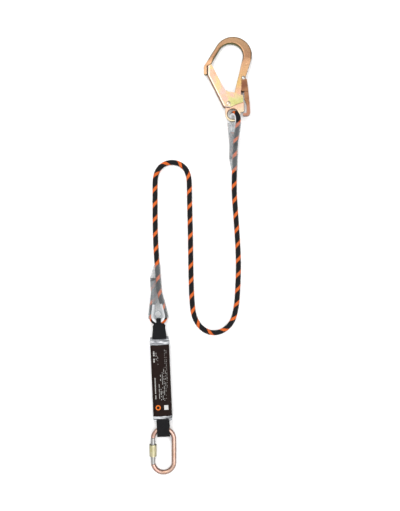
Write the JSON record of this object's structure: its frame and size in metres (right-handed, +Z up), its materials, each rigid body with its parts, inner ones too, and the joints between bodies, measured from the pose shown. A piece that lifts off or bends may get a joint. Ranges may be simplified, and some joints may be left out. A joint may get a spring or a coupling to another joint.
{
  "type": "shock absorbing lanyard",
  "caption": "Rope lanyard with sewn eyes on thimbles, scaffold hook, tear-webbing shock absorber and screw-gate oval carabiner, laid out in an S on a flat surface.",
  "frame": {"origin": "on the surface the lanyard lies on, at the middle of the fittings' overall outline", "axes": "+X to the right, +Y along the lanyard towards the hook, +Z up from the surface"},
  "size_m": [0.2256, 0.955, 0.041],
  "materials": {
    "zinc_hook": "yellow zinc plated forging, iridescent",
    "zinc_sheet": "yellow zinc plated pressed sheet, iridescent",
    "bright_rivet": "bright zinc",
    "spring_steel": "bright spring wire",
    "rope_sheath": "black braid with an orange marker strand",
    "rope_core": "white core yarns",
    "thimble": "light grey moulding",
    "stitching": "light grey thread",
    "sleeve": "clear tubing",
    "webbing": "black woven polyester webbing",
    "film": "clear shrunk film",
    "label": "dark printed wrap",
    "plated_bar": "iridescent plated steel bar",
    "gate_steel": "bright plated gate tube",
    "collar": "pale yellow zinc, knurled"
  },
  "bodies": {
    "rope": {"hook_end_eye_sheath": "rope_sheath", "hook_end_eye_core": "rope_core", "hook_end_thimble": "thimble", "hook_end_stitching": "stitching", "hook_end_sleeve": "sleeve", "absorber_end_eye_sheath": "rope_sheath", "absorber_end_eye_core": "rope_core", "absorber_end_thimble": "thimble", "absorber_end_stitching": "stitching", "absorber_end_sleeve": "sleeve", "rope_sheath": "rope_sheath", "rope_core": "rope_core"},
    "hook": {"hook_body": "zinc_hook", "hook_gate_rivet": "bright_rivet", "hook_lever_rivet": "bright_rivet"},
    "hook_gate": {"hook_gate": "zinc_sheet", "hook_gate_spring": "spring_steel"},
    "hook_lever": {"hook_lock_lever": "zinc_sheet", "hook_lever_spring": "spring_steel"},
    "absorber": {"upper_webbing_loop": "webbing", "lower_webbing_loop": "webbing", "tear_webbing": "webbing", "absorber_cover": "film", "absorber_label": "label", "upper_loop_stitching": "stitching", "lower_loop_stitching": "stitching"},
    "carabiner": {"carabiner_body": "plated_bar", "carabiner_gate_rivet": "bright_rivet"},
    "carabiner_gate": {"carabiner_gate": "gate_steel", "carabiner_latch_pin": "bright_rivet", "carabiner_gate_plunger": "bright_rivet", "carabiner_gate_spring": "spring_steel"},
    "carabiner_collar": {"carabiner_screw_collar": "collar"}
  },
  "joints": [
    {"name": "hook_swivel", "type": "hinge", "parent": "rope", "child": "hook", "pos_m": [0.0731, 0.2918, 0.0216], "axis": [0.8756, 0.0342, -0.4818], "range_deg": [-15, 60]},
    {"name": "hook_gate_hinge", "type": "hinge", "parent": "hook", "child": "hook_gate", "pos_m": [0.06, 0.3276, 0.01853], "axis": [0, 0.0854, 0.9963], "range_deg": [-38, 0], "stiffness_Nm_per_rad": 0.35, "springref_deg": 20.05},
    {"name": "hook_lever_hinge", "type": "hinge", "parent": "hook", "child": "hook_lever", "pos_m": [0.0926, 0.38424, 0.01367], "axis": [0, 0.0854, 0.9963], "range_deg": [-3, 0], "stiffness_Nm_per_rad": 0.8, "springref_deg": 6.88},
    {"name": "absorber_hinge", "type": "hinge", "parent": "rope", "child": "absorber", "pos_m": [-0.091, -0.1463, 0.0125], "axis": [0.999, 0.0436, 0], "range_deg": [-60, 60]},
    {"name": "carabiner_swing", "type": "hinge", "parent": "absorber", "child": "carabiner", "pos_m": [-0.08097, -0.37608, 0.0125], "axis": [0.999, 0.0436, 0], "range_deg": [-40, 30]},
    {"name": "carabiner_gate_hinge", "type": "hinge", "parent": "carabiner", "child": "carabiner_gate", "pos_m": [-0.10372, -0.44911, 0.00686], "axis": [0, -0.0769, 0.997], "range_deg": [-28, 0], "stiffness_Nm_per_rad": 0.12, "springref_deg": 22.92},
    {"name": "collar_travel", "type": "slide", "parent": "carabiner_gate", "child": "carabiner_collar", "axis": [0, 0.997, 0.0769], "range_m": [0, 0.017]}
  ]
}
